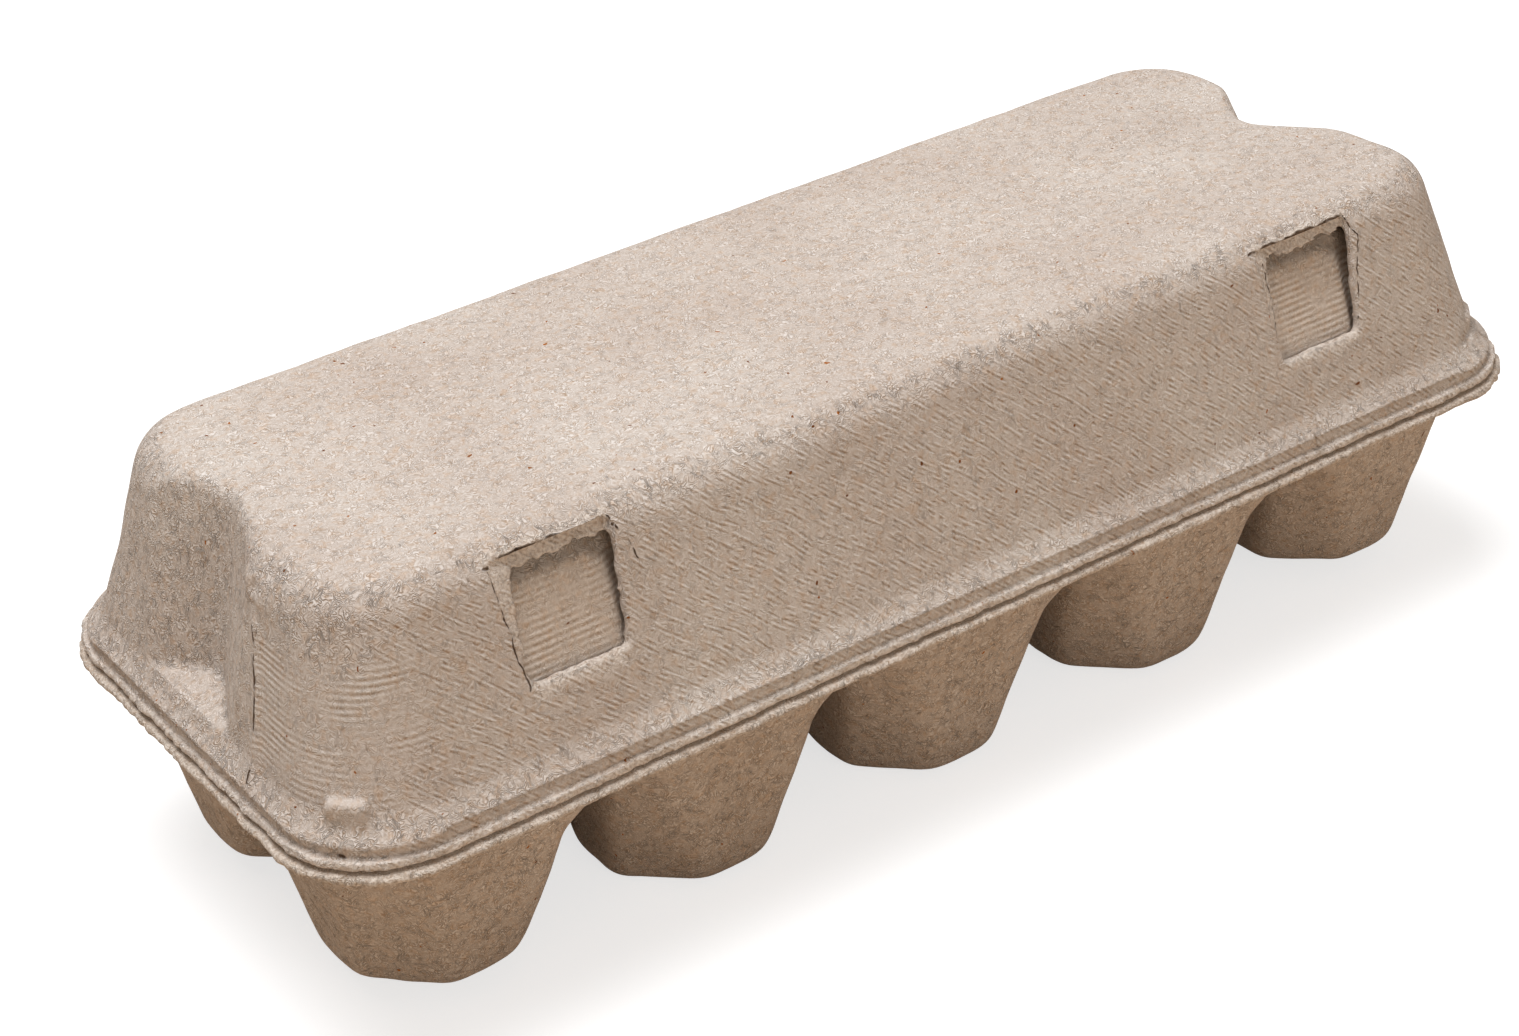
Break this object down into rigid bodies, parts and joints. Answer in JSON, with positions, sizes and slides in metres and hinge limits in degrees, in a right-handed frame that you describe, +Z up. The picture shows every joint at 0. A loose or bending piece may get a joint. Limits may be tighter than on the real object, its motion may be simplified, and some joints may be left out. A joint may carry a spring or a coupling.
{
  "type": "egg carton",
  "caption": "Moulded pulp egg carton: tray of tapered cups under a hinged lid with end recesses and latch windows.",
  "frame": {"origin": "middle of the carton on the surface that its feet stand on", "axes": "+X along the carton's length, +Y towards the hinge at the back, +Z up"},
  "size_m": [0.253, 0.1064, 0.0795],
  "materials": {
    "tray_pulp": "rough",
    "lid_pulp": "rough"
  },
  "bodies": {
    "tray": {"tray": "tray_pulp"},
    "lid": {"lid": "lid_pulp"}
  },
  "joints": [
    {"name": "lid_hinge", "type": "hinge", "parent": "tray", "child": "lid", "pos_m": [0, 0.0532, 0.0398], "axis": [-1, 0, 0], "range_deg": [0, 180]}
  ]
}
